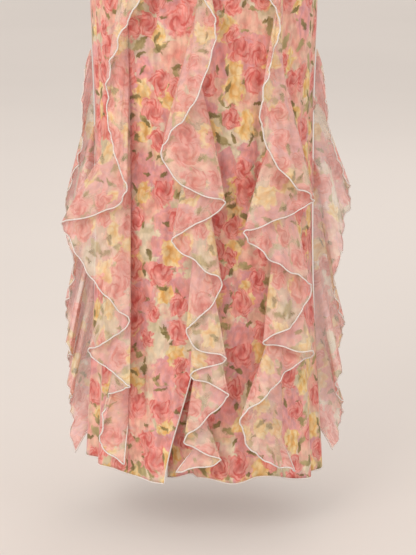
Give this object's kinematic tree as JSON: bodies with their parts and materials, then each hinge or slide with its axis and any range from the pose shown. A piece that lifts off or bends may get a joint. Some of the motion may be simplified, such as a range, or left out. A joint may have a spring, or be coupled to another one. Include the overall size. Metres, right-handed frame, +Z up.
{
  "type": "maxi dress",
  "caption": "Worn column maxi dress on shoulder straps, with cascade ruffles falling down its skirt seams and a slit at the front of the hem.",
  "frame": {"origin": "midway between the tops of the two shoulder straps, where the wearer's shoulders hold the dress", "axes": "+Z up, the wearer faces -Y, +X to the wearer's left, at the right of the picture"},
  "size_m": [0.4776, 0.4222, 1.3466],
  "materials": {
    "skirt_cloth": "matt printed chiffon over a second layer",
    "ruffle_cloth": "sheer printed chiffon, single layer",
    "bodice_cloth": "matt printed chiffon over a second layer",
    "strap_cloth": "matt folded chiffon",
    "rolled_hem": "white overlocked thread"
  },
  "bodies": {
    "root": {"bodice_front": "bodice_cloth", "bodice_back": "bodice_cloth", "strap_left": "strap_cloth", "strap_right": "strap_cloth", "skirt_front_left": "skirt_cloth", "skirt_front_right": "skirt_cloth", "skirt_side_front_right": "skirt_cloth", "skirt_side_back_right": "skirt_cloth", "skirt_back_right": "skirt_cloth", "skirt_back_left": "skirt_cloth", "skirt_side_back_left": "skirt_cloth", "skirt_side_front_left": "skirt_cloth", "ruffle_left_side": "ruffle_cloth", "ruffle_left_front": "ruffle_cloth", "ruffle_centre_front": "ruffle_cloth", "ruffle_right_front": "ruffle_cloth", "ruffle_right_side": "ruffle_cloth", "ruffle_right_back": "ruffle_cloth", "ruffle_centre_back": "ruffle_cloth", "ruffle_left_back": "ruffle_cloth"}
  },
  "joints": []
}
